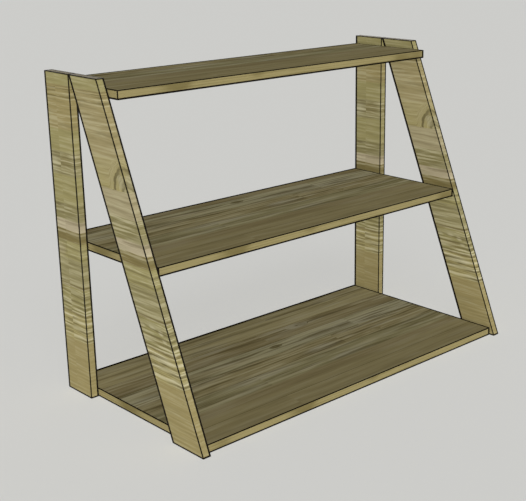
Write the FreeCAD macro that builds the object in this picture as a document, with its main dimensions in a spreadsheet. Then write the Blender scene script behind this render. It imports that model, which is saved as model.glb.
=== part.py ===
"""Three-tier plant stand of planks: two leg frames, three shelf panels and hidden pocket screws.

Each frame has an upright rear leg and a front leg that leans back until its top meets the rear leg.
The panels butt against the inner faces of the legs. Two screws hold each panel end to each leg: they sit
in slanted pockets, bored into the panel's underside.

Frame: millimetres, +X along the shelves to the right, +Y to the back, +Z up.
The origin is on the floor, at the middle of the stand's width and depth.
"""

import FreeCAD, Part
import enum
import os
import Sketcher

# Driving sizes: name, value in millimetres, degrees or shares, and meaning
SIZES = (
    ("shelf_length", "876.3", "shelf panel, which fills the space between the leg frames"),
    ("shelf_thickness", "19.05", "shelf panel"),
    ("bay_height", "304.8", "clear height from one shelf to the next"),
    ("leg_width", "88.9", "leg plank, square to its length"),
    ("leg_thickness", "19.05", "leg plank"),
    ("leg_lip", "19.05", "height of the legs above the top shelf"),
    ("front_leg_slant", "22.5", "degrees that the front leg leans from upright"),
    ("bottom_shelf_setback", "5.3", "bottom shelf's front behind the leg's front, at the shelf's top"),
    ("middle_shelf_overhang", "1.8", "middle shelf's front past the leg's front, at the shelf's top"),
    ("top_shelf_overhang", "33.4", "top shelf's front past the leg's front, at the shelf's top"),
    ("eased_edge", "1.2", "radius sanded along every board edge"),
    ("pocket_angle", "15", "degrees between a pocket and the panel"),
    ("pocket_bore", "9.5", "pocket's diameter"),
    ("pocket_cover", "0.8", "wood left below the pocket's deep end"),
    ("tip_cover", "3.8", "wood left between a screw's point and the leg's outer face"),
    ("screw_spacing_share", "0.5", "spacing of a joint's two screws, over the leg's width"),
    ("screw_thread", "4.2", "outside diameter of the thread"),
    ("screw_shank", "3.2", "diameter of the smooth shank"),
    ("screw_shank_length", "10", "smooth shank below the head"),
    ("screw_point", "5", "length of the tapered point"),
    ("screw_clearance", "0.1", "gap round the thread in its holes"),
    ("head_clearance", "0.3", "gap round the head in its pocket"),
    ("head_flange", "1", "thickness of the washer formed on the head"),
    ("head_height", "2.6", "whole head, washer included"),
    ("crown_share", "0.74", "diameter of the crown at its foot, over the head's"),
    ("crown_top_share", "0.8", "diameter of the crown's flat top, over its foot"),
    ("drive_square", "2.8", "width of the square driver recess"),
    ("drive_depth_share", "0.7", "depth of the driver recess, over the head's height"),
)
SHELF_LEVELS = ("bottom", "middle", "top")
FRONT_EDGE = {
    "bottom": "- Sizes.bottom_shelf_setback",
    "middle": "+ Sizes.middle_shelf_overhang",
    "top": "+ Sizes.top_shelf_overhang",
}
SIDES = {"left": "-", "right": "+"}
LEGS = ("rear", "front")
SCREW_PLACES = {"1": "-", "2": "+"}
PARTS_FOLDER = "parts"


class SketchAxis(enum.IntEnum):
    """Index numbers of a sketch's own axes."""

    X = -1
    Y = -2


class SketchPoint(enum.IntEnum):
    """Index numbers of the points of a sketch's line or circle."""

    START = 1
    END = 2
    CENTRE = 3


SKETCH_ORIGIN = (SketchAxis.X, SketchPoint.START)


# Formulas in the driving sizes. Forward distances are measured from the flat back of the stand.
def underside(level):
    """Height of a shelf's underside above the floor."""
    return f"({SHELF_LEVELS.index(level)} * (Sizes.shelf_thickness + Sizes.bay_height))"


LEG_HEIGHT = f"({underside('top')} + Sizes.shelf_thickness + Sizes.leg_lip)"
FOOT_WIDTH = "(Sizes.leg_width / cos(Sizes.front_leg_slant))"


def front_leg_back(height):
    """Forward distance of the front leg's rear edge at a height."""
    return f"(Sizes.leg_width + ({LEG_HEIGHT} - {height}) * tan(Sizes.front_leg_slant))"


def front_leg_front(height):
    """Forward distance of the front leg's front edge at a height."""
    return f"({front_leg_back(height)} + {FOOT_WIDTH})"


def shelf_depth(level):
    """Depth of a shelf, from the stand's back to its own front edge."""
    top_face = f"({underside(level)} + Sizes.shelf_thickness)"
    return f"({front_leg_front(top_face)} {FRONT_EDGE[level]})"


def joint_height(level):
    """Height at which a shelf's screws cross from its end into the legs: half way up the panel."""
    return f"({underside(level)} + Sizes.shelf_thickness / 2)"


def screw_forward(level, leg, place):
    """Forward distance of one screw: a joint's two screws stand evenly about the leg's centre line."""
    centre = "Sizes.leg_width / 2"
    if leg == "front":
        centre = f"{front_leg_back(joint_height(level))} + {FOOT_WIDTH} / 2"
    return f"({centre} {SCREW_PLACES[place]} Sizes.leg_width * Sizes.screw_spacing_share / 2)"


BACK = f"({front_leg_front('0')} / 2)"
HALF_LENGTH = "(Sizes.shelf_length / 2)"
# Along the screw: from the head's seat to the panel's end, and from there to the point in the leg
SEAT_TO_END = (
    "((Sizes.shelf_thickness / 2 - Sizes.pocket_bore / 2 * cos(Sizes.pocket_angle) - Sizes.pocket_cover)"
    " / sin(Sizes.pocket_angle))"
)
BITE = "((Sizes.leg_thickness - Sizes.tip_cover) / cos(Sizes.pocket_angle))"
SCREW_LENGTH = f"({SEAT_TO_END} + {BITE})"
SEAT_X = f"({HALF_LENGTH} - {SEAT_TO_END} * cos(Sizes.pocket_angle))"
SCREW_HOLE = "(Sizes.screw_thread + 2 * Sizes.screw_clearance)"
HEAD_RADIUS = "(Sizes.pocket_bore / 2 - Sizes.head_clearance)"
CROWN_RADIUS = f"({HEAD_RADIUS} * Sizes.crown_share)"


def seat_height(level):
    """Height of a screw's seat at the bottom of its pocket."""
    return f"({joint_height(level)} - {SEAT_TO_END} * sin(Sizes.pocket_angle))"


doc = FreeCAD.newDocument("plant_stand")
sheet = doc.addObject("Spreadsheet::Sheet", "Sizes")
for row, (alias, value, meaning) in enumerate(SIZES, start=1):
    sheet.set(f"A{row}", alias)
    sheet.set(f"B{row}", value)
    sheet.set(f"C{row}", meaning)
    sheet.setAlias(f"B{row}", alias)
doc.recompute()


# Sketch helpers
def value_of(formula):
    """The present value of a formula, as a plain number."""
    return float(sheet.evalExpression(formula))


def new_body(label):
    """An empty body that stands with its back against the stand's back."""
    body = doc.addObject("PartDesign::Body", label)
    body.Label = label
    body.setExpression("Placement.Base.y", BACK)
    return body


def origin_plane(body, role):
    """One of the body's own origin planes, by its role."""
    return next(feature for feature in body.Origin.OriginFeatures if feature.Role == role)


def new_sketch(body, name, role, offset):
    """A sketch on one of the body's origin planes, moved from it by formulas along the sketch's own axes."""
    sketch = body.newObject("Sketcher::SketchObject", name)
    sketch.AttachmentSupport = [(origin_plane(body, role), "")]
    sketch.MapMode = "FlatFace"
    for axis, formula in offset.items():
        sketch.setExpression(f"AttachmentOffset.Base.{axis}", formula)
    return sketch


def hold(sketch, geometry, point, axis, formula):
    """Ties one coordinate of a sketch point to a formula. A leading minus puts it on the negative side."""
    kind = {"x": "DistanceX", "y": "DistanceY"}[axis]
    if formula == "0":
        zero_line = {"x": SketchAxis.Y, "y": SketchAxis.X}[axis]
        sketch.addConstraint(Sketcher.Constraint("PointOnObject", geometry, point, zero_line))
        return
    size = value_of(formula.lstrip("-"))
    if formula.startswith("-"):
        tie = Sketcher.Constraint(kind, geometry, point, *SKETCH_ORIGIN, size)
    else:
        tie = Sketcher.Constraint(kind, *SKETCH_ORIGIN, geometry, point, size)
    index = sketch.addConstraint(tie)
    sketch.setExpression(f"Constraints[{index}]", formula.lstrip("-"))


def draw_outline(sketch, corners):
    """A closed outline of straight lines, each corner held at two formulas."""
    points = [FreeCAD.Vector(value_of(x), value_of(y), 0) for x, y in corners]
    for start, end in zip(points, points[1:] + points[:1]):
        sketch.addGeometry(Part.LineSegment(start, end), False)
    for line in range(len(corners)):
        following = (line + 1) % len(corners)
        joint = Sketcher.Constraint("Coincident", line, SketchPoint.END, following, SketchPoint.START)
        sketch.addConstraint(joint)
    for line, (x, y) in enumerate(corners):
        hold(sketch, line, SketchPoint.START, "x", x)
        hold(sketch, line, SketchPoint.START, "y", y)


def draw_screw_circles(sketch, diameter, forwards):
    """Circles of one diameter, centred on the sketch's X axis at the screws' forward distances."""
    for forward in forwards:
        centre = FreeCAD.Vector(-value_of(forward), 0, 0)
        circle = Part.Circle(centre, FreeCAD.Vector(0, 0, 1), value_of(diameter) / 2)
        index = sketch.addGeometry(circle, False)
        hold(sketch, index, SketchPoint.CENTRE, "x", f"-{forward}")
        hold(sketch, index, SketchPoint.CENTRE, "y", "0")
        tie = sketch.addConstraint(Sketcher.Constraint("Diameter", index, value_of(diameter)))
        sketch.setExpression(f"Constraints[{tie}]", diameter)


def screw_seat_sketch(body, name, level):
    """A sketch square to a shelf's right-hand screws, through the seats of their heads."""
    offset = {"y": seat_height(level), "z": SEAT_X}
    sketch = new_sketch(body, name, "YZ_Plane", offset)
    lean = FreeCAD.Rotation(FreeCAD.Vector(-1, 0, 0), value_of("Sizes.pocket_angle"))
    sketch.AttachmentOffset = FreeCAD.Placement(sketch.AttachmentOffset.Base, lean)
    sketch.setExpression("AttachmentOffset.Rotation.Angle", "Sizes.pocket_angle")
    return sketch


def pad(body, sketch, length):
    """Extrudes a sketch along its normal."""
    feature = body.newObject("PartDesign::Pad", f"{sketch.Name}_pad")
    feature.Profile = sketch
    feature.setExpression("Length", length)
    doc.recompute()
    return feature


def ease_edges(body, feature):
    """Rounds every edge of a board."""
    fillet = body.newObject("PartDesign::Fillet", f"{body.Name}_eased_edges")
    fillet.Base = (feature, [""])
    fillet.UseAllEdges = True
    fillet.setExpression("Radius", "Sizes.eased_edge")
    doc.recompute()
    return fillet


def bore(body, sketch, towards_leg, length=None):
    """Cuts a sketch's shape along the screws, right through or to a length, and checks that it did cut."""
    before = body.Shape.Volume
    feature = body.newObject("PartDesign::Pocket", f"{sketch.Name}_bore")
    feature.Profile = sketch
    feature.Reversed = towards_leg
    if length is None:
        feature.Type = "ThroughAll"
    else:
        feature.Type = "Length"
        feature.setExpression("Length", length)
    doc.recompute()
    if not body.Shape.Volume < before:
        raise RuntimeError(f"{feature.Name} cuts nothing")
    return feature


# Legs
def bore_screw_holes(body, leg):
    """Holes for the screws of all the shelves, slanting into a leg from its inner face."""
    for level in SHELF_LEVELS:
        sketch = screw_seat_sketch(body, f"{body.Name}_{level}_holes", level)
        draw_screw_circles(sketch, SCREW_HOLE, [screw_forward(level, leg, p) for p in SCREW_PLACES])
        bore(body, sketch, True, f"{SCREW_LENGTH} + Sizes.screw_clearance")


def make_right_leg(leg, corners):
    """A leg plank of the right frame, from its side outline."""
    body = new_body(f"right_{leg}_leg")
    outline = new_sketch(body, f"right_{leg}_outline", "YZ_Plane", {"z": HALF_LENGTH})
    draw_outline(outline, corners)
    plank = pad(body, outline, "Sizes.leg_thickness")
    ease_edges(body, plank)
    bore_screw_holes(body, leg)
    return body


def make_left_leg(right_leg):
    """The left frame's leg is the mirror image of the right frame's."""
    label = right_leg.Label.replace("right", "left")
    mirrored = doc.addObject("Part::Mirroring", label)
    mirrored.Label = label
    mirrored.Source = right_leg
    mirrored.Normal = (1, 0, 0)
    return mirrored


REAR_LEG_CORNERS = (
    ("-Sizes.leg_width", "0"),
    ("0", "0"),
    ("0", LEG_HEIGHT),
    ("-Sizes.leg_width", LEG_HEIGHT),
)
FRONT_LEG_CORNERS = (
    (f"-{front_leg_front('0')}", "0"),
    (f"-{front_leg_back('0')}", "0"),
    (f"-{front_leg_back(LEG_HEIGHT)}", LEG_HEIGHT),
    (f"-{front_leg_front(LEG_HEIGHT)}", LEG_HEIGHT),
)


# Shelf panels
def make_shelf(level):
    """A shelf panel with four screw pockets under each end."""
    body = new_body(f"{level}_shelf")
    outline = new_sketch(body, f"{level}_shelf_outline", "XY_Plane", {"z": underside(level)})
    depth = shelf_depth(level)
    draw_outline(
        outline,
        (
            (f"-{HALF_LENGTH}", f"-{depth}"),
            (HALF_LENGTH, f"-{depth}"),
            (HALF_LENGTH, "0"),
            (f"-{HALF_LENGTH}", "0"),
        ),
    )
    panel = pad(body, outline, "Sizes.shelf_thickness")
    ease_edges(body, panel)
    forwards = [screw_forward(level, leg, place) for leg in LEGS for place in SCREW_PLACES]
    pockets = screw_seat_sketch(body, f"{level}_shelf_pockets", level)
    draw_screw_circles(pockets, "Sizes.pocket_bore", forwards)
    holes = screw_seat_sketch(body, f"{level}_shelf_holes", level)
    draw_screw_circles(holes, SCREW_HOLE, forwards)
    right_end = [bore(body, pockets, False), bore(body, holes, True)]
    left_end = body.newObject("PartDesign::Mirrored", f"{level}_shelf_left_end")
    left_end.Originals = right_end
    left_end.MirrorPlane = (origin_plane(body, "YZ_Plane"), [""])
    body.Tip = left_end
    doc.recompute()
    return body


# Pocket screws
def make_screw():
    """One washer-head screw, standing on its head's seat with its point up."""
    body = doc.addObject("PartDesign::Body", "pocket_screw")
    profile = new_sketch(body, "screw_profile", "XZ_Plane", {})
    thread_end = f"({SCREW_LENGTH} - Sizes.screw_point)"
    draw_outline(
        profile,
        (
            ("0", "-Sizes.head_height"),
            (f"({CROWN_RADIUS} * Sizes.crown_top_share)", "-Sizes.head_height"),
            (CROWN_RADIUS, "-Sizes.head_flange"),
            (HEAD_RADIUS, "-Sizes.head_flange"),
            (HEAD_RADIUS, "0"),
            ("(Sizes.screw_shank / 2)", "0"),
            ("(Sizes.screw_shank / 2)", "Sizes.screw_shank_length"),
            ("(Sizes.screw_thread / 2)", "Sizes.screw_shank_length"),
            ("(Sizes.screw_thread / 2)", thread_end),
            ("0", SCREW_LENGTH),
        ),
    )
    turned = body.newObject("PartDesign::Revolution", "screw_turned")
    turned.Profile = profile
    turned.ReferenceAxis = (profile, ["V_Axis"])
    doc.recompute()
    recess = new_sketch(body, "screw_recess", "XY_Plane", {"z": "-Sizes.head_height"})
    half = "(Sizes.drive_square / 2)"
    draw_outline(recess, ((f"-{half}", f"-{half}"), (half, f"-{half}"), (half, half), (f"-{half}", half)))
    bore(body, recess, True, "Sizes.head_height * Sizes.drive_depth_share")
    return body


def place_screw(screw, level, side, leg, place):
    """One screw in its pocket, pointing up and out into a leg."""
    copy = doc.addObject("Part::Compound", f"{level}_{side}_{leg}_screw_{place}")
    copy.Links = [screw]
    turn_axis = FreeCAD.Vector(0, 1 if side == "right" else -1, 0)
    copy.Placement.Rotation = FreeCAD.Rotation(turn_axis, 90 - value_of("Sizes.pocket_angle"))
    copy.setExpression("Placement.Rotation.Angle", "90 - Sizes.pocket_angle")
    copy.setExpression("Placement.Base.x", f"{SIDES[side]}{SEAT_X}")
    copy.setExpression("Placement.Base.y", f"{BACK} - {screw_forward(level, leg, place)}")
    copy.setExpression("Placement.Base.z", seat_height(level))
    return copy


def make_screw_pair(screw, level, side, leg):
    """The two screws that hold one end of a shelf to one leg."""
    label = f"{level}_shelf_{side}_{leg}_screws"
    pair = doc.addObject("Part::Compound", label)
    pair.Label = label
    pair.Links = [place_screw(screw, level, side, leg, place) for place in SCREW_PLACES]
    return pair


right_legs = [make_right_leg("rear", REAR_LEG_CORNERS), make_right_leg("front", FRONT_LEG_CORNERS)]
left_legs = [make_left_leg(leg) for leg in right_legs]
shelves = [make_shelf(level) for level in SHELF_LEVELS]
pocket_screw = make_screw()
screw_pairs = [
    make_screw_pair(pocket_screw, level, side, leg)
    for level in SHELF_LEVELS
    for side in SIDES
    for leg in LEGS
]
subparts = right_legs + left_legs + shelves + screw_pairs
doc.recompute()

# Nothing is written unless every feature and every sub-part is sound.
for item in doc.Objects:
    if "Invalid" in item.State or "Error" in item.State:
        raise RuntimeError(f"{item.Name} failed: {item.State}")
for subpart in subparts:
    if subpart.Shape.isNull() or not subpart.Shape.isValid():
        raise RuntimeError(f"{subpart.Label} has no sound shape")

os.makedirs(PARTS_FOLDER, exist_ok=True)
for subpart in subparts:
    subpart.Shape.exportStep(os.path.join(PARTS_FOLDER, f"{subpart.Label}.step"))
    solids = subpart.Shape.Solids
    print(f"{subpart.Label}: {len(solids)} solid(s), {sum(s.Volume for s in solids):.1f} mm3")
print(f"stand: {value_of(LEG_HEIGHT):.1f} high and {value_of(BACK) * 2:.1f} deep")
print(f"screws: {value_of(SCREW_LENGTH):.2f} below the head")
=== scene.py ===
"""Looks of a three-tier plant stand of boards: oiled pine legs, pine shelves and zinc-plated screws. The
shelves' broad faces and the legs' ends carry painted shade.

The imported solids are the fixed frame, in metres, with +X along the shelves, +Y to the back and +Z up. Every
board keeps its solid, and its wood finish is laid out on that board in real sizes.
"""

import math
from typing import NamedTuple

import bpy
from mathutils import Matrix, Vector


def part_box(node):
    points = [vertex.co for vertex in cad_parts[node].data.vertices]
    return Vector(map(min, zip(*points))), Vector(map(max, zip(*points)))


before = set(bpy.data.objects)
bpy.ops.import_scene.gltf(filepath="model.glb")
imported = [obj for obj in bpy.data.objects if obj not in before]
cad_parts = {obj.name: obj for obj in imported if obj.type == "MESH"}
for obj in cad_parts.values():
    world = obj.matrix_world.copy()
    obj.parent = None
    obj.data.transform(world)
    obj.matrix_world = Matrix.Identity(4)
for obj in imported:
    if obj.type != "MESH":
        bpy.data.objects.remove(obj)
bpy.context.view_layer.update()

bl_info = {
    "name": "Plant Stand Finishes",
    "version": (1, 0, 0),
    "blender": (4, 5, 0),
    "location": "View3D > Sidebar > Plant Stand",
    "description": "Wood, steel, floor, light and camera for a three-tier plant stand of boards",
    "category": "Material",
}

MM = 0.001
SIDES = ("left", "right")
LEVELS = ("bottom", "middle", "top")
BOARD_AXES = (Vector((1, 0, 0)), Vector((0, 1, 0)), Vector((0, 0, 1)))
# The finish gathered along the right, rear and lower edges, where the dark line is wider.
GATHER_SIDES = (1, 1, -1)

# The figure of the wood is one value about a middle. It falls to a dark latewood line and rises to pale wood.
MIDDLE = 0.5
FIGURE_DARK = 0.38
FIGURE_PALE = 0.62
RING_SHARE = 0.035
STREAK_SHARE = 0.7
FIBRE_SHARE = 0.3
# How much of the tone a full dark line, pale line or greyish patch takes over
DARK_COVER = 0.85
PALE_COVER = 0.7
GREY_COVER = 0.55
# Noise value where a greyish patch of wood or a dull mark on metal is full
PATCH_FULL = 0.66
# Distance from the middle of a knot or patch, as a share of its reach, where its tone starts and is full
KNOT_RIM, KNOT_HEART = 0.85, 0.25
PATCH_RIM, PATCH_HEART = 1.2, 0.45
# Rings round a knot start and take over at these shares, and lie wider apart than the straight grain
BEND_START, BEND_FULL = 1.05, 0.9
BEND_SPREAD = 0.35
# Share of the unevenness of a rim that the rings round a knot have
BEND_WOBBLE = 0.12
# How much more strongly the grain shows where it bends round a full knot
BEND_CONTRAST = 0.9
# Put on the distance from a spot below its lowest place, so that it doesn't show there
OUT_OF_REACH = 2.0
# How far apart the staves lie in the noise, so that each has lines of its own
SEED_SPREAD = 40.0
# Octaves of the noises: the more of them, the more broken the pattern
FLAME_OCTAVES = 1.0
FIBRE_OCTAVES = 2.0
PATCH_OCTAVES = 2.0
STREAK_OCTAVES = 3.0
MARK_OCTAVES = 3.0
WOOD_IOR = 1.5


class Band(NamedTuple):
    """A stave, or a streak in it: millimetres where it starts, its tone, and how strongly its grain shows."""

    start: float
    tone: str
    strength: float


class Spot(NamedTuple):
    """A knot or patch: its place and reach in millimetres, its lowest place, its tone and strength."""

    along: float
    across: float
    half_length: float
    half_width: float
    lowest: float
    tone: str
    strength: float


class GluedPanel(NamedTuple):
    """A glued-up panel: its staves, the knots its grain bends round, patches, a butt joint, and contrast."""

    bands: tuple
    knots: tuple
    patches: tuple
    butt: float
    contrast: float


class Lamp(NamedTuple):
    """A distant lamp: strength, degrees of spread, elevation and azimuth, and whether it casts shadows."""

    name: str
    strength: float
    spread: float
    elevation: float
    azimuth: float
    shadow: bool


# The legs are cut across a panel, so their staves lie one above another. Heights are from the floor, and
# places along the grain are from the middle of the board to the rear.
LEG_FOOT_BANDS = (
    Band(0, "honey", 0.22),
    Band(123, "straw", 0.8),
    Band(146, "straw", 1.0),
    Band(182, "umber", 0.6),
    Band(185, "moss", 0.8),
    Band(241, "umber", 0.6),
    Band(244, "ash", 0.48),
    Band(301, "olive", 0.55),
    Band(338, "umber", 0.42),
    Band(364, "blush", 0.5),
    Band(384, "fern", 0.58),
)
LEG_HEAD_BANDS = (
    Band(573, "honey", 0.4),
    Band(636, "umber", 0.4),
    Band(639, "honey", 0.6),
    Band(651, "umber", 0.4),
    Band(654, "honey", 0.5),
    Band(660, "olive", 0.3),
)
REAR_LEG_BANDS = (
    Band(420, "olive", 0.3),
    Band(479, "ash", 0.75),
    Band(526, "olive", 0.3),
)
FRONT_LEG_BANDS = (
    Band(426, "flax", 0.35),
    Band(478, "straw", 0.3),
    Band(539, "honey", 0.3),
)
REAR_LEG_PATCHES = (
    Spot(24, 232, 12, 8, 183, "umber", 0.5),
    Spot(24, 320, 24, 16, 301, "blush", 0.45),
    Spot(16, 415, 13, 3, 400, "dark_streak", 0.7),
    Spot(-22, 508, 26, 16, 480, "umber", 0.5),
    Spot(24, 504, 24, 22, 480, "grey", 0.6),
)
# The middle of this knot lies off the board, so only the crown of its rings shows.
FRONT_LEG_KNOTS = (Spot(-90, 420, 102, 130, 479, "grey", 0.8),)
FRONT_LEG_PATCHES = (
    Spot(0, 203, 44, 9, 186, "umber", 0.5),
    Spot(-33, 222, 10, 6, 186, "pale_streak", 0.7),
    Spot(-8, 227, 12, 5, 186, "pale_streak", 0.55),
    Spot(30, 225, 16, 6, 186, "pale_streak", 0.45),
    Spot(-38, 208, 9, 5, 186, "pale_streak", 0.5),
    Spot(-10, 168, 36, 9, 146, "grey", 0.7),
    Spot(6, 350, 48, 11, 338, "umber", 0.9),
    Spot(-46, 498, 12, 22, 479, "grey", 0.8),
    Spot(0, 575, 90, 100, 479, "flax", 0.35),
)
# The front butt joint lies off the board, which leaves the staves of the front legs whole.
LEG_PANELS = {
    "rear": GluedPanel(LEG_FOOT_BANDS + REAR_LEG_BANDS + LEG_HEAD_BANDS, (), REAR_LEG_PATCHES, -3, 1.0),
    "front": GluedPanel(
        LEG_FOOT_BANDS + FRONT_LEG_BANDS + LEG_HEAD_BANDS, FRONT_LEG_KNOTS, FRONT_LEG_PATCHES, 100, 1.2
    ),
}
# The staves of the shelves run along them. Distances are behind the front edge, and along the grain they are
# from the middle of the shelf to the right.
SHELF_PANEL = GluedPanel(
    bands=(
        Band(0, "walnut", 0.3),
        Band(56, "char", 0.2),
        Band(58, "walnut", 0.25),
        Band(89, "bark", 0.3),
        Band(117, "driftwood", 0.8),
        Band(176, "walnut", 1.0),
        Band(236, "char", 0.4),
        Band(238, "pewter", 0.9),
        Band(295, "char", 0.4),
        Band(298, "bark", 0.5),
        Band(328, "bark", 0.9),
        Band(355, "char", 0.4),
        Band(357, "fawn", 0.6),
        Band(415, "walnut", 0.7),
    ),
    knots=(
        Spot(-14, 275, 20, 8, 240, "char", 0.55),
        Spot(233, 189, 20, 8, 177, "char", 0.4),
        Spot(113, 340, 36, 15, 300, "bark", 0.4),
    ),
    patches=(
        Spot(-260, 264, 190, 20, 240, "bark", 0.7),
        Spot(220, 262, 210, 24, 240, "grey", 0.5),
        Spot(-160, 168, 110, 13, 118, "grey", 0.6),
        Spot(70, 130, 50, 12, 118, "grey", 0.7),
        Spot(60, 196, 60, 16, 178, "grey", 0.65),
        Spot(280, 205, 150, 24, 178, "bark", 0.6),
        Spot(330, 430, 90, 18, 415, "bark", 0.6),
    ),
    butt=0,
    contrast=1.0,
)
# Broad fills without shadows light the boards evenly. The weak key light gives the floor its shadow.
LAMPS = (
    Lamp("key_light", 0.4, 40, 45, -40, True),
    Lamp("front_fill", 2.95, 40, 25, -40, False),
    Lamp("rear_fill", 1.9, 40, 25, 137, False),
)


def linear(hex_colour):
    """Linear colour of an sRGB hex value."""
    shares = [int(hex_colour[start : start + 2], 16) / 255 for start in (1, 3, 5)]
    return [s / 12.92 if s <= 0.04045 else ((s + 0.055) / 1.055) ** 2.4 for s in shares]


def colour_setting(name, description, hex_colour):
    """A colour that the user can change."""
    return bpy.props.FloatVectorProperty(
        name=name,
        description=description,
        subtype="COLOR",
        min=0.0,
        max=1.0,
        default=linear(hex_colour),
    )


def length_setting(name, description, millimetres):
    """A length that the user can change."""
    return bpy.props.FloatProperty(
        name=name,
        description=description,
        unit="LENGTH",
        subtype="DISTANCE",
        min=0.0,
        default=millimetres * MM,
    )


def share_setting(name, description, share):
    """A share of one that the user can change."""
    return bpy.props.FloatProperty(
        name=name, description=description, subtype="FACTOR", min=0.0, max=1.0, default=share
    )


# A pine's fibres are far finer than a pixel, so their lines are drawn a few millimetres wide to show at all.
class LegFinish(bpy.types.PropertyGroup):
    """Oiled pine of the four legs."""

    honey: colour_setting("Honey", "Plain warm staves", "#998C5F")
    straw: colour_setting("Straw", "Light staves with strong lines", "#A19665")
    moss: colour_setting("Moss", "Greenish staves", "#938B5D")
    olive: colour_setting("Olive", "Smooth olive staves", "#989061")
    ash: colour_setting("Ash", "Greyish staves", "#938B63")
    flax: colour_setting("Flax", "Pale grey staves", "#A59A78")
    blush: colour_setting("Blush", "Pale pinkish sapwood", "#B0A487")
    fern: colour_setting("Fern", "Dull streaky staves", "#898158")
    umber: colour_setting("Umber", "Dark brown bands and lines", "#7E7248")
    grey: colour_setting("Grey", "Greyish patches in the figure", "#A9A280")
    dark_streak: colour_setting("Dark streak", "Latewood lines", "#6C6342")
    pale_streak: colour_setting("Pale streak", "Earlywood lines", "#CEC6A2")
    # Painted shade: a darker tone on the top and bottom end faces, for tops lit less than the sides; it is
    # not soaked oil.
    end_shade_tone: colour_setting("Sawn end", "Tops and feet that soaked up oil", "#5C5238")
    arris: colour_setting("Arris", "Handled edges, darkened by oil", "#16130D")
    front_lean: bpy.props.FloatProperty(
        name="Front lean",
        description="Lean of the front legs from upright",
        unit="ROTATION",
        subtype="ANGLE",
        default=math.radians(22.5),
    )
    stave_width: length_setting("Stave width", "Spacing of the glued joints", 59.6)
    first_joint: length_setting("First joint", "Height of the lowest glued joint", 3.0)
    stave_length: length_setting("Stave length", "Spacing of the butt joints along a stave", 500.0)
    stagger: share_setting("Stagger", "How far the butt joints shift from stave to stave", 0.0)
    ragged_joint: length_setting("Ragged joint", "How far the grain frays the edge of a tone", 9.0)
    ring_spacing: length_setting("Ring spacing", "Spacing of the growth rings", 9.0)
    flame_length: length_setting("Flame length", "Length of a bend in the growth rings", 130.0)
    flame_width: length_setting("Flame width", "Width of a bend in the growth rings", 45.0)
    flame_reach: length_setting("Flame reach", "How far a bend carries the growth rings", 9.0)
    streak_length: length_setting("Streak length", "Length of a streak of grain", 150.0)
    streak_width: length_setting("Streak width", "Width of a streak of grain", 7.0)
    fibre_length: length_setting("Fibre length", "Length of a fine line of grain", 45.0)
    fibre_width: length_setting("Fibre width", "Width of a fine line of grain", 2.2)
    patch_length: length_setting("Patch length", "Length of a greyish patch", 90.0)
    patch_width: length_setting("Patch width", "Width of a greyish patch", 14.0)
    arris_width: length_setting("Arris width", "Width of the full dark line along an edge", 1.3)
    arris_fade: length_setting("Arris fade", "Where the dark line along an edge has faded out", 2.4)
    gather_right: length_setting("Gather right", "Extra width of the line on the right side", 2.6)
    gather_rear: length_setting("Gather rear", "Extra width of the line on the rear side", 4.6)
    gather_below: length_setting("Gather below", "Extra width of the line on the lower side", 2.0)
    arris_cover: share_setting("Arris cover", "How dark the line along an edge gets", 1.0)
    # Painted shade: how far the darker end tone reaches in from the top and bottom faces, and where it has
    # faded out.
    end_shade_depth: length_setting("Soak depth", "How far the oil soaked in from a sawn end", 0.1)
    end_shade_fade: length_setting("Soak fade", "Where the soaked oil has faded out", 0.5)
    grain_depth: length_setting("Grain depth", "Depth of the open grain", 0.4)
    grain_bump: share_setting("Grain bump", "How strongly the open grain shows", 0.25)
    rough_latewood: share_setting("Latewood roughness", "Roughness of the dark lines", 0.72)
    rough_earlywood: share_setting("Earlywood roughness", "Roughness of the pale lines", 0.58)
    specular: share_setting("Specular", "Strength of the oil's sheen", 0.05)


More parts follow.
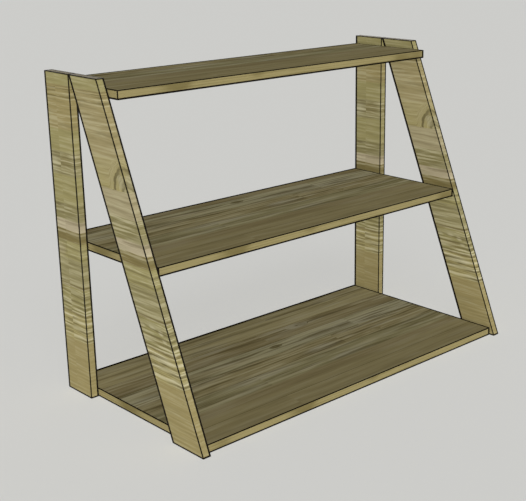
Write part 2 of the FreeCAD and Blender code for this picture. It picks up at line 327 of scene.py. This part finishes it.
class ShelfFinish(bpy.types.PropertyGroup):
    """Pine of the three shelves: grain tones with painted shade on the broad faces, and pale edges."""

    # Painted shade: the face tones below are the wood's grain tones painted darker, for broad faces lit less
    # than the edges. The stain they speak of is this painted shade.
    walnut: colour_setting("Walnut", "Plain stained staves", "#736A4B")
    bark: colour_setting("Bark", "Dark brown staves", "#6C6245")
    driftwood: colour_setting("Driftwood", "Greyish stained staves", "#706A4C")
    pewter: colour_setting("Pewter", "Light grey staves", "#7C775B")
    fawn: colour_setting("Fawn", "Light brown staves", "#7E7554")
    char: colour_setting("Char", "Dark lines at the glued joints", "#564D31")
    grey: colour_setting("Grey", "Greyish patches in the figure", "#87826C")
    dark_streak: colour_setting("Dark streak", "Latewood lines under the stain", "#4B4229")
    pale_streak: colour_setting("Pale streak", "Earlywood lines under the stain", "#8E876A")
    # The edge tones are the same wood without the painted shade.
    edge: colour_setting("Edge", "Bare wood of the shelf edges", "#998D62")
    edge_dark: colour_setting("Edge streak", "Darker lines of the shelf edges", "#736841")
    arris: colour_setting("Arris", "Handled edges, darkened by stain", "#13100B")
    stave_width: length_setting("Stave width", "Spacing of the glued joints", 59.6)
    first_joint: length_setting("First joint", "Distance of the first glued joint behind the front", 57.0)
    stave_length: length_setting("Stave length", "Spacing of the butt joints along a stave", 1100.0)
    stagger: share_setting("Stagger", "How far the butt joints shift from stave to stave", 1.0)
    ragged_joint: length_setting("Ragged joint", "How far the grain frays the edge of a tone", 0.0)
    ring_spacing: length_setting("Ring spacing", "Spacing of the growth rings", 12.0)
    flame_length: length_setting("Flame length", "Length of a bend in the growth rings", 300.0)
    flame_width: length_setting("Flame width", "Width of a bend in the growth rings", 50.0)
    flame_reach: length_setting("Flame reach", "How far a bend carries the growth rings", 14.0)
    streak_length: length_setting("Streak length", "Length of a streak of grain", 260.0)
    streak_width: length_setting("Streak width", "Width of a streak of grain", 13.0)
    fibre_length: length_setting("Fibre length", "Length of a fine line of grain", 80.0)
    fibre_width: length_setting("Fibre width", "Width of a fine line of grain", 2.8)
    patch_length: length_setting("Patch length", "Length of a greyish patch", 170.0)
    patch_width: length_setting("Patch width", "Width of a greyish patch", 22.0)
    arris_width: length_setting("Arris width", "Width of the full dark line along an edge", 1.3)
    arris_fade: length_setting("Arris fade", "Where the dark line along an edge has faded out", 2.4)
    gather_right: length_setting("Gather right", "Extra width of the line on the right side", 4.4)
    gather_rear: length_setting("Gather rear", "Extra width of the line on the rear side", 7.0)
    gather_below: length_setting("Gather below", "Extra width of the line on the lower side", 2.0)
    arris_cover: share_setting("Arris cover", "How dark the line along an edge gets", 1.0)
    # Painted shade: how far the darker face tone wraps round onto the edge, and where it has faded out.
    face_shade_depth: length_setting("Stain depth", "How far the stain wraps round the edge", 0.1)
    face_shade_fade: length_setting("Stain fade", "Where the stain has faded out on the edge", 0.5)
    edge_line_cover: share_setting("Edge line cover", "How dark the lines of the edges get", 0.5)
    edge_cloud_cover: share_setting("Edge cloud cover", "How dark the slow changes of the edges get", 0.8)
    grain_depth: length_setting("Grain depth", "Depth of the open grain", 0.4)
    grain_bump: share_setting("Grain bump", "How strongly the open grain shows", 0.25)
    rough_latewood: share_setting("Latewood roughness", "Roughness of the dark lines", 0.92)
    rough_earlywood: share_setting("Earlywood roughness", "Roughness of the pale lines", 0.8)
    # The stain in this description is the painted shade of the faces; the shelves get no sheen.
    specular: share_setting("Specular", "Strength of the dry stain's sheen", 0.0)


class ScrewFinish(bpy.types.PropertyGroup):
    """Zinc-plated steel of the pocket screws."""

    zinc: colour_setting("Zinc", "Bright plating", "#C8C6BC")
    dulled: colour_setting("Dulled zinc", "Handled and rubbed plating", "#A3A199")
    blotch: length_setting("Blotch", "Size of the dull marks on the plating", 1.5)
    rough_bright: share_setting("Bright roughness", "Roughness of the bright plating", 0.28)
    rough_dulled: share_setting("Dulled roughness", "Roughness of the dull marks", 0.45)


class StageSettings(bpy.types.PropertyGroup):
    """Floor, background, light and camera."""

    floor: colour_setting("Floor", "Matte floor", "#DEDEDB")
    background: colour_setting("Background", "Backdrop seen past the floor", "#CCCCC9")
    floor_width: length_setting("Floor width", "Side of the square floor", 60000.0)
    floor_glow: share_setting("Floor glow", "Share of the background colour that lightens the shadow", 0.35)
    sky_light: share_setting("Sky light", "Strength of the even light from all round", 0.09)
    lens: bpy.props.FloatProperty(
        name="Lens", description="Focal length in millimetres", unit="CAMERA", default=73.806
    )
    shift: bpy.props.FloatVectorProperty(
        name="Shift", description="Shift of the picture, right and up", size=2, default=(-0.0808, 0.0095)
    )
    eye: bpy.props.FloatVectorProperty(
        name="Eye",
        description="Place of the camera",
        unit="LENGTH",
        subtype="TRANSLATION",
        default=(-1.5683, -1.6882, 0.9669),
    )
    turn: bpy.props.FloatVectorProperty(
        name="Turn",
        description="Turn of the camera",
        unit="ROTATION",
        subtype="EULER",
        default=[math.radians(angle) for angle in (72.706, 0.473, -43.649)],
    )


def add(tree, kind, inputs, **settings):
    """Adds a node, sets its properties, and fills its inputs with values or with other nodes' outputs."""
    node = tree.nodes.new(f"ShaderNode{kind}")
    for name, value in settings.items():
        setattr(node, name, value)
    for key, value in inputs.items():
        if isinstance(key, int):
            socket = node.inputs[key]
        else:
            socket = next(s for s in node.inputs if s.enabled and s.name == key)
        if isinstance(value, bpy.types.Node):
            value = next(s for s in value.outputs if s.enabled)
        if isinstance(value, bpy.types.NodeSocket):
            tree.links.new(value, socket)
        elif socket.type == "RGBA":
            socket.default_value = (*value, 1.0)
        else:
            socket.default_value = value
    return node


def new_material(name):
    """An empty node material and its tree."""
    material = bpy.data.materials.new(name)
    material.use_nodes = True
    material.node_tree.nodes.clear()
    return material, material.node_tree


def board_offsets(tree, centre, axes):
    """Distances from a board's centre, along the directions square to its three pairs of faces."""
    place = add(tree, "TexCoord", {}).outputs["Object"]
    offsets = []
    for axis in axes:
        reach = add(tree, "VectorMath", {0: place, 1: axis}, operation="DOT_PRODUCT")
        offsets.append(add(tree, "Math", {0: reach, 1: centre.dot(axis)}, operation="SUBTRACT"))
    return offsets


def board_depths(tree, offsets, halves, gathers=(0.0, 0.0, 0.0)):
    """Depths below a board's three pairs of faces, less an allowance on the sides where finish gathers."""
    depths = []
    for offset, half, side, gather in zip(offsets, halves, GATHER_SIDES, gathers):
        shifted = add(tree, "Math", {0: offset, 1: side * gather / 2}, operation="ADD")
        reach = add(tree, "Math", {0: shifted}, operation="ABSOLUTE")
        depths.append(add(tree, "Math", {0: half - gather / 2, 1: reach}, operation="SUBTRACT"))
    return depths


def edge_distance(tree, depths):
    """Distance to a board's nearest edge: of the three depths, the middle one."""
    first, second, third = depths
    lesser = add(tree, "Math", {0: first, 1: second}, operation="MINIMUM")
    greater = add(tree, "Math", {0: first, 1: second}, operation="MAXIMUM")
    capped = add(tree, "Math", {0: greater, 1: third}, operation="MINIMUM")
    return add(tree, "Math", {0: lesser, 1: capped}, operation="MAXIMUM")


def grain(tree, along, across, length, width, seed, octaves):
    """Noise drawn out along the grain into streaks of a length and a width."""
    run = add(tree, "Math", {0: along, 1: length}, operation="DIVIDE")
    row = add(tree, "Math", {0: across, 1: width}, operation="DIVIDE")
    place = add(tree, "CombineXYZ", {0: run, 1: row, 2: seed})
    return add(tree, "TexNoise", {"Vector": place, "Scale": 1.0, "Detail": octaves})


def band_ramp(tree, across, span, bands, finish):
    """A ramp across the grain: its colour is each stave's tone, its alpha how strongly the grain shows."""
    share = add(tree, "Math", {0: across, 1: span}, operation="DIVIDE")
    node = add(tree, "ValToRGB", {0: share})
    ramp = node.color_ramp
    ramp.interpolation = "CONSTANT"
    ramp.elements.remove(ramp.elements[1])
    for index, band in enumerate(bands):
        place = band.start * MM / span
        element = ramp.elements[0] if index == 0 else ramp.elements.new(place)
        element.position = place
        element.color = (*getattr(finish, band.tone), band.strength)
    return node


def spot_distance(tree, along, across, spot, wobble, unevenness=1.0):
    """Distance from a spot's middle as a share of its reach, with an uneven rim and a lowest place."""
    place = add(tree, "CombineXYZ", {0: along, 1: across})
    middle = Vector((spot.along, spot.across, 0)) * MM
    apart = add(tree, "VectorMath", {0: place, 1: middle}, operation="SUBTRACT")
    reach = Vector((spot.half_length * MM, spot.half_width * MM, 1))
    shares = add(tree, "VectorMath", {0: apart, 1: reach}, operation="DIVIDE")
    length = add(tree, "VectorMath", {0: shares}, operation="LENGTH")
    share = add(tree, "Math", {0: wobble, 1: unevenness, 2: length}, operation="MULTIPLY_ADD")
    below = add(tree, "Math", {0: across, 1: spot.lowest * MM}, operation="LESS_THAN")
    return add(tree, "Math", {0: below, 1: OUT_OF_REACH, 2: share}, operation="MULTIPLY_ADD")


def bend_grain(tree, along, across, knots, wobble):
    """The place across the grain, bent round knots, and how much more strongly the grain shows there."""
    lively = 0.0
    for knot in knots:
        share = spot_distance(tree, along, across, knot, wobble, BEND_WOBBLE)
        step = {"Value": share, "From Min": BEND_START, "From Max": BEND_FULL}
        near = add(tree, "MapRange", step, interpolation_type="SMOOTHSTEP")
        spread = knot.half_width * BEND_SPREAD * MM
        ring = add(tree, "Math", {0: share, 1: spread, 2: knot.across * MM}, operation="MULTIPLY_ADD")
        across = add(tree, "Mix", {"Factor": near, "A": across, "B": ring}, data_type="FLOAT")
        contrast = knot.strength * BEND_CONTRAST
        lively = add(tree, "Math", {0: near, 1: contrast, 2: lively}, operation="MULTIPLY_ADD")
    return across, lively


def tint_spots(tree, colour, along, across, spots, wobble, finish, rim, heart):
    """Blends the tones of knots or patches into the wood."""
    for spot in spots:
        share = spot_distance(tree, along, across, spot, wobble)
        step = {"Value": share, "From Min": rim, "From Max": heart, "To Max": spot.strength}
        near = add(tree, "MapRange", step, interpolation_type="SMOOTHSTEP")
        tone = getattr(finish, spot.tone)
        colour = add(tree, "Mix", {"Factor": near, "A": colour, "B": tone}, data_type="RGBA")
    return colour


def stave_seed(tree, along, across, finish):
    """A random value for each length of stave between its glued joints and its butt joints."""
    behind = add(tree, "Math", {0: across, 1: finish.first_joint}, operation="SUBTRACT")
    rows = add(tree, "Math", {0: behind, 1: finish.stave_width}, operation="DIVIDE")
    row = add(tree, "Math", {0: rows}, operation="FLOOR")
    shift = add(tree, "TexWhiteNoise", {"W": row}, noise_dimensions="1D").outputs["Value"]
    runs = add(tree, "Math", {0: along, 1: finish.stave_length}, operation="DIVIDE")
    staggered = add(tree, "Math", {0: shift, 1: finish.stagger, 2: runs}, operation="MULTIPLY_ADD")
    run = add(tree, "Math", {0: staggered}, operation="FLOOR")
    cell = add(tree, "CombineXYZ", {0: row, 1: run})
    chance = add(tree, "TexWhiteNoise", {"Vector": cell}, noise_dimensions="2D").outputs["Value"]
    return add(tree, "Math", {0: chance, 1: SEED_SPREAD}, operation="MULTIPLY")


def pine_figure(tree, along, across, seed, finish):
    """The grain of a stave as one value about the middle: growth rings, streaks and fine fibres."""
    flame = grain(tree, along, across, finish.flame_length, finish.flame_width, seed, FLAME_OCTAVES)
    bent = add(tree, "Math", {0: flame, 1: finish.flame_reach, 2: across}, operation="MULTIPLY_ADD")
    turns = add(tree, "Math", {0: bent, 1: finish.ring_spacing / math.tau}, operation="DIVIDE")
    rings = add(tree, "Math", {0: turns}, operation="SINE")
    streaks = grain(tree, along, bent, finish.streak_length, finish.streak_width, seed, STREAK_OCTAVES)
    fibres = grain(tree, along, bent, finish.fibre_length, finish.fibre_width, seed, FIBRE_OCTAVES)
    figure = 0.0
    for layer, share in ((rings, RING_SHARE), (streaks, STREAK_SHARE), (fibres, FIBRE_SHARE)):
        figure = add(tree, "Math", {0: layer, 1: share, 2: figure}, operation="MULTIPLY_ADD")
    return figure


def pine_panel(tree, along, across, span, panel, finish):
    """Colour and figure of a glued-up pine panel."""
    past_butt = add(tree, "Math", {0: along, 1: panel.butt * MM}, operation="SUBTRACT")
    seed = stave_seed(tree, past_butt, across, finish)
    rim = grain(tree, along, across, finish.fibre_length, finish.patch_width, seed, PATCH_OCTAVES)
    wobble = add(tree, "Math", {0: rim, 1: MIDDLE}, operation="SUBTRACT")
    bent, lively = bend_grain(tree, along, across, panel.knots, wobble)
    figure = pine_figure(tree, along, bent, seed, finish)
    frayed = add(tree, "Math", {0: figure, 1: MIDDLE}, operation="SUBTRACT")
    level = add(tree, "Math", {0: frayed, 1: finish.ragged_joint, 2: across}, operation="MULTIPLY_ADD")
    ramp = band_ramp(tree, level, span, panel.bands, finish)
    colour, clarity = ramp.outputs
    strength = add(tree, "Math", {0: clarity, 1: panel.contrast, 2: lively}, operation="MULTIPLY_ADD")
    colour = tint_spots(tree, colour, along, across, panel.patches, wobble, finish, PATCH_RIM, PATCH_HEART)
    colour = tint_spots(tree, colour, along, across, panel.knots, wobble, finish, KNOT_RIM, KNOT_HEART)
    patches = grain(tree, along, across, finish.patch_length, finish.patch_width, seed, PATCH_OCTAVES)
    for layer, full, cover, tone in (
        (patches, PATCH_FULL, GREY_COVER, finish.grey),
        (figure, FIGURE_DARK, DARK_COVER, finish.dark_streak),
        (figure, FIGURE_PALE, PALE_COVER, finish.pale_streak),
    ):
        step = {"Value": layer, "From Min": MIDDLE, "From Max": full, "To Max": cover}
        reach = add(tree, "MapRange", step, interpolation_type="SMOOTHSTEP")
        share = add(tree, "Math", {0: reach, 1: strength}, operation="MULTIPLY")
        colour = add(tree, "Mix", {"Factor": share, "A": colour, "B": tone}, data_type="RGBA")
    return colour, figure


def finished_wood(tree, colour, figure, offsets, halves, finish):
    """Darkens the wood along the board's edges and gives it the relief and sheen of its grain."""
    gathers = finish.gather_right, finish.gather_rear, finish.gather_below
    line = {
        "Value": edge_distance(tree, board_depths(tree, offsets, halves, gathers)),
        "From Min": finish.arris_fade,
        "From Max": finish.arris_width,
        "To Max": finish.arris_cover,
    }
    worn = add(tree, "MapRange", line, interpolation_type="SMOOTHSTEP")
    sheen = {
        "Value": figure,
        "From Min": FIGURE_DARK,
        "From Max": FIGURE_PALE,
        "To Min": finish.rough_latewood,
        "To Max": finish.rough_earlywood,
    }
    relief = {"Height": figure, "Strength": finish.grain_bump, "Distance": finish.grain_depth}
    wood = {
        "Base Color": add(tree, "Mix", {"Factor": worn, "A": colour, "B": finish.arris}, data_type="RGBA"),
        "Roughness": add(tree, "MapRange", sheen, interpolation_type="SMOOTHSTEP"),
        "IOR": WOOD_IOR,
        "Specular IOR Level": finish.specular,
        "Normal": add(tree, "Bump", relief),
    }
    add(tree, "OutputMaterial", {"Surface": add(tree, "BsdfPrincipled", wood)})


def oiled_pine(leg, lean, panel, finish):
    """Planed pine, oiled: warm tan staves with fine lines, hardly any sheen, dark edges, and painted shade on
    the top and bottom ends.
    """
    material, tree = new_material(f"oiled_pine_{leg}")
    low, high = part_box(leg)
    rear_low, rear_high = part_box(leg.replace("front", "rear"))
    centre = (low + high) / 2
    halves = (high.x - low.x) / 2, (rear_high.y - rear_low.y) / 2, (high.z - low.z) / 2
    width_axis = Vector((0, math.cos(lean), -math.sin(lean)))
    offsets = board_offsets(tree, centre, (BOARD_AXES[0], width_axis, BOARD_AXES[2]))
    thickness, width, height = offsets
    # The thickness is added along the grain, so the lines run on from face to face round an edge.
    level_width = 1 / math.cos(lean)
    along = add(tree, "Math", {0: width, 1: level_width, 2: thickness}, operation="MULTIPLY_ADD")
    across = add(tree, "Math", {0: height, 1: centre.z}, operation="ADD")
    planed, figure = pine_panel(tree, along, across, high.z, panel, finish)
    # Painted shade: the top and bottom end faces take the darker end tone.
    end_depth = board_depths(tree, offsets, halves)[2]
    step = {"Value": end_depth, "From Min": finish.end_shade_fade, "From Max": finish.end_shade_depth}
    on_end = add(tree, "MapRange", step, interpolation_type="SMOOTHSTEP")
    ends = {"Factor": on_end, "A": planed, "B": finish.end_shade_tone}
    finished_wood(tree, add(tree, "Mix", ends, data_type="RGBA"), figure, offsets, halves, finish)
    return material


def shade_painted_pine(shelf, span, panel, finish):
    """Pine panel with painted shade on its broad faces: dull brown staves with grey streaks, darker than the
    pale wood on the edges.
    """
    material, tree = new_material(f"stained_pine_{shelf}")
    low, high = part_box(shelf)
    halves = (high - low) / 2
    offsets = board_offsets(tree, low + halves, BOARD_AXES)
    along, depth, height = offsets
    behind_front = add(tree, "Math", {0: depth, 1: halves.y}, operation="ADD")
    shaded, figure = pine_panel(tree, along, behind_front, span, panel, finish)
    round_edge = add(tree, "Math", {0: along, 1: depth}, operation="ADD")
    edge_wood = finish.edge
    for length, width, full, cover in (
        (finish.streak_length, finish.fibre_width, FIGURE_DARK, finish.edge_line_cover),
        (finish.patch_length, finish.stave_width, PATCH_FULL, finish.edge_cloud_cover),
    ):
        streaks = grain(tree, round_edge, height, length, width, 0.0, PATCH_OCTAVES)
        step = {"Value": streaks, "From Min": MIDDLE, "From Max": full, "To Max": cover}
        share = add(tree, "MapRange", step, interpolation_type="SMOOTHSTEP")
        edge_wood = add(tree, "Mix", {"Factor": share, "A": edge_wood, "B": finish.edge_dark}, data_type="RGBA")
    # Painted shade: the broad top and bottom faces take the darker shaded tones, and the edges keep the
    # wood's own colour.
    face_depth = board_depths(tree, offsets, halves)[2]
    step = {"Value": face_depth, "From Min": finish.face_shade_fade, "From Max": finish.face_shade_depth}
    on_face = add(tree, "MapRange", step, interpolation_type="SMOOTHSTEP")
    faces = {"Factor": on_face, "A": edge_wood, "B": shaded}
    finished_wood(tree, add(tree, "Mix", faces, data_type="RGBA"), figure, offsets, halves, finish)
    return material


def zinc_plated_steel(finish):
    """Steel with bright zinc: a cool metal that mirrors softly, with duller marks where it was handled."""
    material, tree = new_material("zinc_plated_steel")
    place = add(tree, "TexCoord", {}).outputs["Object"]
    marks = add(tree, "TexNoise", {"Vector": place, "Scale": 1 / finish.blotch, "Detail": MARK_OCTAVES})
    step = {"Value": marks, "From Min": MIDDLE, "From Max": PATCH_FULL}
    dull = add(tree, "MapRange", step, interpolation_type="SMOOTHSTEP")
    plating = {"Factor": dull, "A": finish.zinc, "B": finish.dulled}
    polish = {"Value": dull, "To Min": finish.rough_bright, "To Max": finish.rough_dulled}
    steel = {
        "Base Color": add(tree, "Mix", plating, data_type="RGBA"),
        "Metallic": 1.0,
        "Roughness": add(tree, "MapRange", polish),
    }
    add(tree, "OutputMaterial", {"Surface": add(tree, "BsdfPrincipled", steel)})
    return material


def matte_floor(settings):
    """Matte painted board: an even pale grey that takes only the stand's soft shadow."""
    material, tree = new_material("matte_floor")
    paint = add(tree, "BsdfDiffuse", {"Color": settings.floor})
    glow = add(tree, "Emission", {"Color": settings.background})
    seen = add(tree, "LightPath", {}).outputs["Is Camera Ray"]
    share = add(tree, "Math", {0: seen, 1: settings.floor_glow}, operation="MULTIPLY")
    board = add(tree, "MixShader", {0: share, 1: paint, 2: glow})
    add(tree, "OutputMaterial", {"Surface": board})
    return material


def wear(node_name, material):
    """Gives a solid its finish."""
    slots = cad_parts[node_name].material_slots
    if not slots:
        raise RuntimeError(f"{node_name} has no material slot for its finish")
    for slot in slots:
        slot.material = material


class FinishLegs(bpy.types.Operator):
    """Give the two rear and two front legs their oiled pine"""

    bl_idname = "plant_stand.finish_legs"
    bl_label = "Finish Legs"

    def execute(self, context):
        finish = context.scene.leg_finish
        leans = {"rear": 0.0, "front": finish.front_lean}
        for side in SIDES:
            for place, panel in LEG_PANELS.items():
                leg = f"{side}_{place}_leg"
                wear(leg, oiled_pine(leg, leans[place], panel, finish))
        return {"FINISHED"}


class FinishShelves(bpy.types.Operator):
    """Give the three shelves their pine, with painted shade on the broad faces"""

    bl_idname = "plant_stand.finish_shelves"
    bl_label = "Finish Shelves"

    def execute(self, context):
        shelves = [f"{level}_shelf" for level in LEVELS]
        low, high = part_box(shelves[0])
        for shelf in shelves:
            pine = shade_painted_pine(shelf, high.y - low.y, SHELF_PANEL, context.scene.shelf_finish)
            wear(shelf, pine)
        return {"FINISHED"}


class FinishScrews(bpy.types.Operator):
    """Give the pocket screws their zinc plating"""

    bl_idname = "plant_stand.finish_screws"
    bl_label = "Finish Screws"

    def execute(self, context):
        steel = zinc_plated_steel(context.scene.screw_finish)
        screws = [node_name for node_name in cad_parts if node_name.endswith("_screws")]
        if not screws:
            raise RuntimeError("The frame has no screws to finish")
        for node_name in screws:
            wear(node_name, steel)
        return {"FINISHED"}


class BuildStage(bpy.types.Operator):
    """Add the floor, the light and the camera"""

    bl_idname = "plant_stand.build_stage"
    bl_label = "Build Stage"

    def execute(self, context):
        scene = context.scene
        settings = scene.stage_settings
        self.add_floor(scene, settings)
        self.add_light(scene, settings)
        self.add_camera(scene, settings)
        scene.view_settings.view_transform = "Standard"
        return {"FINISHED"}

    def add_floor(self, scene, settings):
        half = settings.floor_width / 2
        corners = [(-half, -half, 0), (half, -half, 0), (half, half, 0), (-half, half, 0)]
        mesh = bpy.data.meshes.new("floor")
        mesh.from_pydata(corners, [], [range(len(corners))])
        mesh.materials.append(matte_floor(settings))
        floor = bpy.data.objects.new("floor", mesh)
        scene.collection.objects.link(floor)

    def add_light(self, scene, settings):
        scene.world = bpy.data.worlds.new("studio")
        scene.world.use_nodes = True
        tree = scene.world.node_tree
        tree.nodes.clear()
        paths = add(tree, "LightPath", {}).outputs
        seen = 0.0
        for path in ("Is Camera Ray", "Is Glossy Ray", "Is Transmission Ray"):
            seen = add(tree, "Math", {0: paths[path], 1: seen}, operation="ADD")
        light = add(tree, "Background", {"Color": (1, 1, 1), "Strength": settings.sky_light})
        backdrop = add(tree, "Background", {"Color": settings.background})
        add(tree, "OutputWorld", {"Surface": add(tree, "MixShader", {0: seen, 1: light, 2: backdrop})})
        for lamp in LAMPS:
            light = bpy.data.lights.new(lamp.name, "SUN")
            light.energy = lamp.strength
            light.angle = math.radians(lamp.spread)
            light.use_shadow = lamp.shadow
            sun = bpy.data.objects.new(lamp.name, light)
            tilt = math.pi / 2 - math.radians(lamp.elevation)
            sun.rotation_euler = (tilt, 0, math.radians(lamp.azimuth))
            scene.collection.objects.link(sun)

    def add_camera(self, scene, settings):
        lens = bpy.data.cameras.new("camera")
        lens.lens = settings.lens
        lens.shift_x, lens.shift_y = settings.shift
        scene.camera = bpy.data.objects.new("camera", lens)
        scene.camera.location = settings.eye
        scene.camera.rotation_euler = settings.turn
        scene.collection.objects.link(scene.camera)


OPERATORS = (FinishLegs, FinishShelves, FinishScrews, BuildStage)
SETTINGS = {
    "leg_finish": LegFinish,
    "shelf_finish": ShelfFinish,
    "screw_finish": ScrewFinish,
    "stage_settings": StageSettings,
}


class PlantStandPanel(bpy.types.Panel):
    """Sidebar panel with the stand's finishes and stage"""

    bl_idname = "VIEW3D_PT_plant_stand"
    bl_label = "Plant Stand"
    bl_space_type = "VIEW_3D"
    bl_region_type = "UI"
    bl_category = "Plant Stand"

    def draw(self, context):
        for operator, (group_name, group) in zip(OPERATORS, SETTINGS.items()):
            box = self.layout.box()
            box.operator(operator.bl_idname)
            for setting in group.__annotations__:
                box.prop(getattr(context.scene, group_name), setting)


CLASSES = (*SETTINGS.values(), *OPERATORS, PlantStandPanel)


def register():
    for cls in CLASSES:
        bpy.utils.register_class(cls)
    for name, group in SETTINGS.items():
        setattr(bpy.types.Scene, name, bpy.props.PointerProperty(type=group))


def unregister():
    for name in SETTINGS:
        delattr(bpy.types.Scene, name)
    for cls in reversed(CLASSES):
        bpy.utils.unregister_class(cls)


def main():
    register()
    bpy.ops.plant_stand.finish_legs()
    bpy.ops.plant_stand.finish_shelves()
    bpy.ops.plant_stand.finish_screws()
    bpy.ops.plant_stand.build_stage()


if __name__ == "__main__":
    main()
